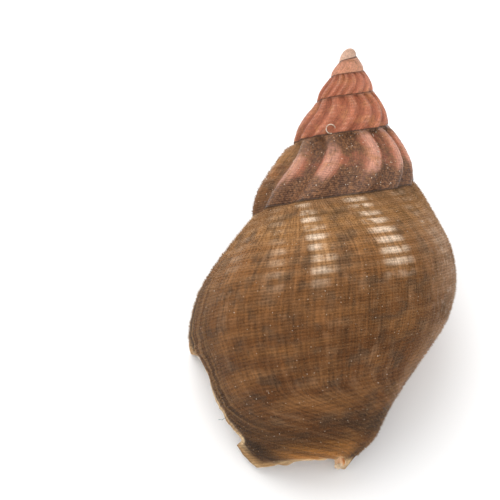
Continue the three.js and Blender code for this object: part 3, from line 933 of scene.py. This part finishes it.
def outside_material():
    """The skin over the spire and the last whorl, and the glossy callus beside the mouth."""
    nodes = Nodes("shell_outside")
    line, share, _ = nodes.attribute("grown")
    turn, crest, tip = nodes.attribute("skin")
    spot = nodes.millimetres()
    body = line.rise(-1.14, -0.98)
    fine = nodes.noise(nodes.across(turn * 420.0, share * 9.0))
    broad = nodes.noise(nodes.across(turn * 60.0, share * 3.0))
    spiral = nodes.noise(nodes.across(line * 60.0, share * (2.0 * THREADS)))
    grain = nodes.noise(spot, 3.2, 2.0)
    thread = (share * THREADS).wave()
    spire_skin = spire_colour(nodes, line, share, crest, spot)
    body_skin = body_colour(nodes, line, share, turn, crest, spot)
    colour = nodes.mix(body, spire_skin, body_skin)
    colour = edge_colour(nodes, colour, line, share, turn, broad)
    weave = -0.75 + fine * 1.25 + spiral * 0.75 + broad * 0.7 + grain * 0.8
    colour = nodes.scale(colour, weave.rise(-0.5, 2.5) * 2.0 - (1.0 - thread) * 0.2)
    suture = share.rise(0.012, 0.0) + share.rise(0.485, 0.5) * (1.0 - body)
    colour = nodes.mix(suture * 0.8, colour, BLACK_SUTURE)
    specks = nodes.dots(spot, 1.2, 0.16, 0.3) * line.rise(-2.2, -1.6)
    colour = nodes.mix(specks * 0.5, colour, PALE_SPECK)
    colour = nodes.mix(tip * 0.6, colour, STRAW_TIP)
    cloud = nodes.noise(spot, 0.14, 3.0)
    callus = line + (cloud - 0.5) * 0.03
    callus = callus.rise(CALLUS_LINE + CALLUS_LINE_FADE, CALLUS_LINE - CALLUS_LINE_FADE)
    callus = callus * share.rise(CALLUS_SHARE - CALLUS_SHARE_FADE, CALLUS_SHARE + CALLUS_SHARE_FADE)
    glaze = nodes.mix(cloud.rise(0.4, 0.58), *CALLUS_PAIR)
    colour = nodes.mix(callus, colour, nodes.scale(glaze, 0.85 + broad * 0.3))
    bare = 1.0 - callus
    roughness = 0.18 + (0.22 + 0.25 * body) * bare
    shine = 0.5 - (0.2 + 0.2 * body) * bare
    nodes.set(Base_Color=colour, Roughness=roughness, Specular_IOR_Level=shine)
    relief = thread * 0.4 + fine * 0.8 + spiral * 0.4 + grain * 0.9
    nodes.bump(relief * (0.1 + 0.9 * bare), SKIN_RELIEF)
    return nodes.material


def inside_material():
    """The glossy inside, cream at the lip and orange further in, with clouds on the columella."""
    nodes = Nodes("shell_inside")
    line, share, side = nodes.attribute("grown")
    turn, _, _ = nodes.attribute("skin")
    lines = nodes.noise(nodes.across(turn * 60.0, share * 4.0))
    cloud = nodes.noise(nodes.millimetres(), 0.12)
    wall = nodes.ramp(line * -1.0, *WALL_STOPS)
    core = nodes.mix(cloud.rise(0.42, 0.6), *CORE_PAIR)
    colour = nodes.scale(nodes.mix(side, wall, core), 0.85 + lines * 0.25)
    nodes.set(Base_Color=colour, Roughness=0.22, Coat_Weight=0.3)
    return nodes.material


def make_shell():
    """The shell and the small things on it, each at rest on the CAD body."""
    mesh = shell_mesh()
    matrix = resting(mesh)
    sand = speck_material("sand", SAND_PAIR, 0.5)
    fluff = speck_material("fluff", FLUFF_PAIR, 0.8)
    pieces = (
        (bristle_mesh(matrix), mesh.materials[0]),
        (grain_mesh(matrix), sand),
        (scar_mesh(), sand),
        (fibre_mesh(), fluff),
    )
    for small, material in pieces:
        small.materials.append(material)
    for piece_mesh in (mesh, *(small for small, _ in pieces)):
        piece_mesh.transform(matrix)
        piece = bpy.data.objects.new(piece_mesh.name, piece_mesh)
        bpy.context.scene.collection.objects.link(piece)
        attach(piece, "root")
        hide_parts("shell")


# Studio, in metres and degrees, but for the sensor in millimetres and the photo's own pixels
PHOTO_WIDTH = 500
SHELL_LENGTH = 0.08
SHELL_PIXELS = 427            # length of the shell in the photo
SHELL_CENTRE_PIXEL = (322.8, 259.4)
PIXEL = SHELL_LENGTH / SHELL_PIXELS
CAMERA_DISTANCE = 0.62
CAMERA_ELEVATION = 90 - APEX_LIFT
CAMERA_AZIMUTH = 2.7
CAMERA_CLIP = (0.01, 20)
SENSOR = 36
FLOOR_REACH = 3
FLOOR_COLOUR = (0.95, 0.95, 0.95, 1)
KEY_PLACE = (-0.45, 0.75, 1.2)
KEY_WIDTH = 55
KEY_STRENGTH = 1.3
ROOM_COLOUR = (1, 1, 1, 1)
ROOM_STRENGTH = 1.12


def make_floor():
    """The white floor of the studio."""
    mesh = bpy.data.meshes.new("floor")
    square = ((-1, -1), (1, -1), (1, 1), (-1, 1))
    mesh.from_pydata([(FLOOR_REACH * x, FLOOR_REACH * y, 0) for x, y in square], [], [(0, 1, 2, 3)])
    nodes = Nodes("floor")
    nodes.set(Base_Color=FLOOR_COLOUR, Roughness=0.9, Specular_IOR_Level=0.1)
    mesh.materials.append(nodes.material)
    floor = bpy.data.objects.new("floor", mesh)
    bpy.context.scene.collection.objects.link(floor)


def make_lights():
    """A wide soft light from the upper left, and a white room."""
    light = bpy.data.lights.new("key", "SUN")
    light.angle, light.energy = math.radians(KEY_WIDTH), KEY_STRENGTH
    key = bpy.data.objects.new("key", light)
    key.location = KEY_PLACE
    key.rotation_euler = (-Vector(KEY_PLACE)).to_track_quat("-Z", "Y").to_euler()
    bpy.context.scene.collection.objects.link(key)
    world = bpy.data.worlds.new("studio")
    world.use_nodes = True
    room = world.node_tree.nodes["Background"].inputs
    room["Color"].default_value = ROOM_COLOUR
    room["Strength"].default_value = ROOM_STRENGTH
    bpy.context.scene.world = world
    bpy.context.scene.view_settings.view_transform = "Standard"


def make_camera():
    """The photo's view: looking down on the shell's back, square to its axis."""
    low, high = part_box("shell")
    azimuth, elevation = math.radians(CAMERA_AZIMUTH), math.radians(CAMERA_ELEVATION)
    level = math.cos(elevation)
    back = Vector((math.sin(azimuth) * level, -math.cos(azimuth) * level, math.sin(elevation)))
    right = Vector((math.cos(azimuth), math.sin(azimuth), 0))
    up = back.cross(right)
    off_x, off_y = (value - PHOTO_WIDTH / 2 for value in SHELL_CENTRE_PIXEL)
    target = (low + high) / 2 - right * off_x * PIXEL + up * off_y * PIXEL
    camera = bpy.data.cameras.new("camera")
    camera.sensor_width = SENSOR
    camera.lens = SENSOR * CAMERA_DISTANCE / (PHOTO_WIDTH * PIXEL)
    camera.clip_start, camera.clip_end = CAMERA_CLIP
    view = bpy.data.objects.new("camera", camera)
    view.location = target + back * CAMERA_DISTANCE
    view.rotation_mode = "QUATERNION"
    view.rotation_quaternion = (-back).to_track_quat("-Z", "Y")
    bpy.context.scene.collection.objects.link(view)
    bpy.context.scene.camera = view


make_shell()
make_floor()
make_lights()
make_camera()
